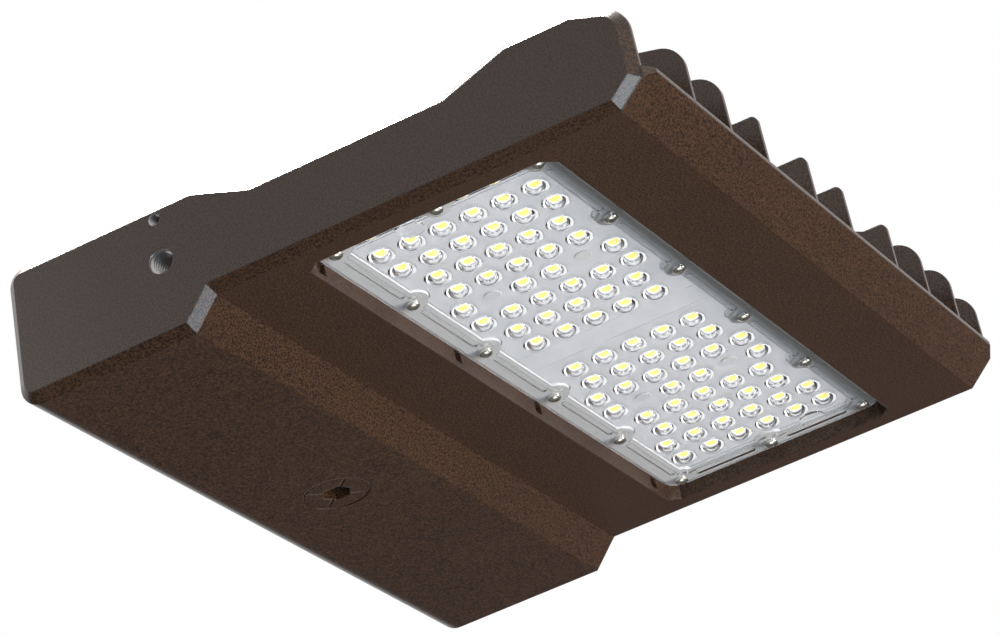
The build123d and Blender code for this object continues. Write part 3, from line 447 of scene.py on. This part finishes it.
THREAD_METAL = metal("thread_metal", (0.42, 0.40, 0.39), 0.34)
THREAD_STEPS = 36
THREAD_HEIGHT = 0.62
THREAD_START = 0.8
THREAD_FOOT = 0.46
THREAD_CREST = 0.07
THREAD_OVERLAP = 0.02


def build_thread(name, mouth, radius, depth, pitch, side):
    """Helical ridge inside a tapped hole that runs along Y from its mouth."""
    grid = bmesh.new()
    ridge = THREAD_HEIGHT * pitch
    start = THREAD_START * pitch
    foot = radius + THREAD_OVERLAP
    turns = (depth - 2 * start) / pitch
    steps = int(turns * THREAD_STEPS)
    rings = []
    for step in range(steps + 1):
        turn = 2 * math.pi * step / THREAD_STEPS
        along = start + pitch * step / THREAD_STEPS
        ends = min(1.0, 4 * step / THREAD_STEPS, 4 * (steps - step) / THREAD_STEPS)
        crest = radius - ridge * max(0.05, ends)
        points = []
        for reach, shift in ((foot, -THREAD_FOOT), (crest, -THREAD_CREST),
                             (crest, THREAD_CREST), (foot, THREAD_FOOT)):
            points.append(mouth + Vector((reach * MM * math.cos(turn),
                                          -side * (along + shift * pitch) * MM,
                                          reach * MM * math.sin(turn))))
        rings.append(ring_of(grid, points))
    for first, second in zip(rings, rings[1:]):
        bridge(grid, first, second)
    cap(grid, rings[0])
    cap(grid, list(reversed(rings[-1])))
    add_piece(name, grid, (THREAD_METAL,), "head", 30.0)


for board in ("near", "far"):
    build_leds(board)
for side, side_name in ((-1, "near"), (1, "far")):
    build_thread("pivot_thread_" + side_name, place(TILT_X, side * HALF_WIDTH, TILT_Z),
                 PIVOT_RADIUS, PIVOT_DEPTH, PIVOT_PITCH, side)
    build_thread("lock_thread_" + side_name, place(LOCK_X, side * HALF_WIDTH, LOCK_Z),
                 LOCK_RADIUS, LOCK_DEPTH, LOCK_PITCH, side)


# Stage
FLOOR_Z = -2.4
FLOOR_HALF = 20.0
FLOOR_LOW = (0.62, 0.62, 0.62)
FLOOR_HIGH = (0.66, 0.66, 0.66)
FLOOR_GLOW_SEEN = 0.75
WORLD_GREY = 0.08


def add_floor():
    """Pale floor, well below the light: matt to lamps, near white to the camera and through glass."""
    mesh = bpy.data.meshes.new("floor")
    grid = bmesh.new()
    bmesh.ops.create_grid(grid, x_segments=1, y_segments=1, size=FLOOR_HALF)
    grid.to_mesh(mesh)
    grid.free()
    floor = bpy.data.objects.new("floor", mesh)
    floor.location = (0, 0, FLOOR_Z)
    bpy.context.scene.collection.objects.link(floor)
    g = Graph("floor")
    tone = g.spread(g.noise(0.5), 0.3, 0.7, 0.0, 1.0)
    lit = g.surface(g.mix(tone, FLOOR_LOW, FLOOR_HIGH), 0.9)
    path = g.node("LightPath")
    direct = g.maths("MULTIPLY", path.outputs["Is Camera Ray"], FLOOR_GLOW_SEEN)
    seen = g.maths("MAXIMUM", direct, path.outputs["Is Transmission Ray"])
    mixed = g.node("MixShader")
    g.wire(seen, mixed.inputs[0])
    g.wire(lit.outputs["BSDF"], mixed.inputs[1])
    g.wire(g.node("Emission").outputs["Emission"], mixed.inputs[2])
    g.wire(mixed.outputs["Shader"], g.output.inputs["Surface"])
    floor.data.materials.append(g.material)


def light_world():
    """Even dim grey light, seen as white by the camera, through glass and in reflections."""
    world = bpy.data.worlds.new("studio")
    bpy.context.scene.world = world
    world.use_nodes = True
    tree = world.node_tree
    tree.nodes.clear()
    output = tree.nodes.new("ShaderNodeOutputWorld")
    dim = tree.nodes.new("ShaderNodeBackground")
    dim.inputs["Color"].default_value = (WORLD_GREY, WORLD_GREY, WORLD_GREY * 1.03, 1.0)
    white = tree.nodes.new("ShaderNodeBackground")
    white.inputs["Color"].default_value = (1.0, 1.0, 1.0, 1.0)
    path = tree.nodes.new("ShaderNodeLightPath")
    seen = path.outputs["Is Camera Ray"]
    for ray in ("Is Glossy Ray", "Is Transmission Ray"):
        either = tree.nodes.new("ShaderNodeMath")
        either.operation = "MAXIMUM"
        tree.links.new(seen, either.inputs[0])
        tree.links.new(path.outputs[ray], either.inputs[1])
        seen = either.outputs[0]
    mixed = tree.nodes.new("ShaderNodeMixShader")
    tree.links.new(seen, mixed.inputs[0])
    tree.links.new(dim.outputs[0], mixed.inputs[1])
    tree.links.new(white.outputs[0], mixed.inputs[2])
    tree.links.new(mixed.outputs[0], output.inputs["Surface"])


def add_lamp(name, towards, distance, size, power, colour=(1.0, 1.0, 1.0), spread=180):
    """A square soft lamp in the given direction from the light's middle, aimed back at it."""
    middle = (CAD_BOX[0] + CAD_BOX[1]) / 2
    lamp = bpy.data.lights.new(name, "AREA")
    lamp.shape = "SQUARE"
    lamp.size = size
    lamp.energy = power
    lamp.color = colour
    lamp.spread = math.radians(spread)
    holder = bpy.data.objects.new(name, lamp)
    way = Vector(towards).normalized()
    holder.location = middle + way * distance
    holder.rotation_euler = way.to_track_quat("Z", "Y").to_euler()
    holder.visible_camera = False
    bpy.context.scene.collection.objects.link(holder)


add_floor()
light_world()
add_lamp("key", (0.61, -0.556, -0.558), 2.2, 0.56, 15, (0.76, 0.89, 1.0))
add_lamp("front", (0.91, 0.0, -0.417), 2.2, 1.0, 38, (1.0, 0.96, 0.92))
add_lamp("below", (0.10, 0.0, -1.0), 1.5, 1.0, 3.4)
add_lamp("rear", (-0.75, -0.65, 0.10), 0.6, 0.4, 0.4)
add_lamp("top", (-0.2, 0.2, 1.0), 1.6, 0.7, 11, spread=30)

# Camera: where the photograph was taken from, with its long lens
CAMERA_AT = Vector((649.25, -1432.88, -758.10)) * MM
CAMERA_RIGHT = Vector((0.860659, 0.466069, -0.205049))
CAMERA_BACK = Vector((0.342378, -0.827789, -0.444457))
CAMERA_LENS = 159.31


def add_camera():
    """Camera at the photograph's viewpoint."""
    data = bpy.data.cameras.new("camera")
    data.lens = CAMERA_LENS
    data.sensor_width = 36.0
    data.clip_end = 20.0
    holder = bpy.data.objects.new("camera", data)
    up = CAMERA_BACK.cross(CAMERA_RIGHT)
    turn = Matrix((CAMERA_RIGHT, up, CAMERA_BACK)).transposed()
    holder.matrix_world = Matrix.Translation(CAMERA_AT) @ turn.to_4x4()
    bpy.context.scene.collection.objects.link(holder)
    bpy.context.scene.camera = holder


add_camera()
bpy.context.scene.view_settings.view_transform = "Standard"
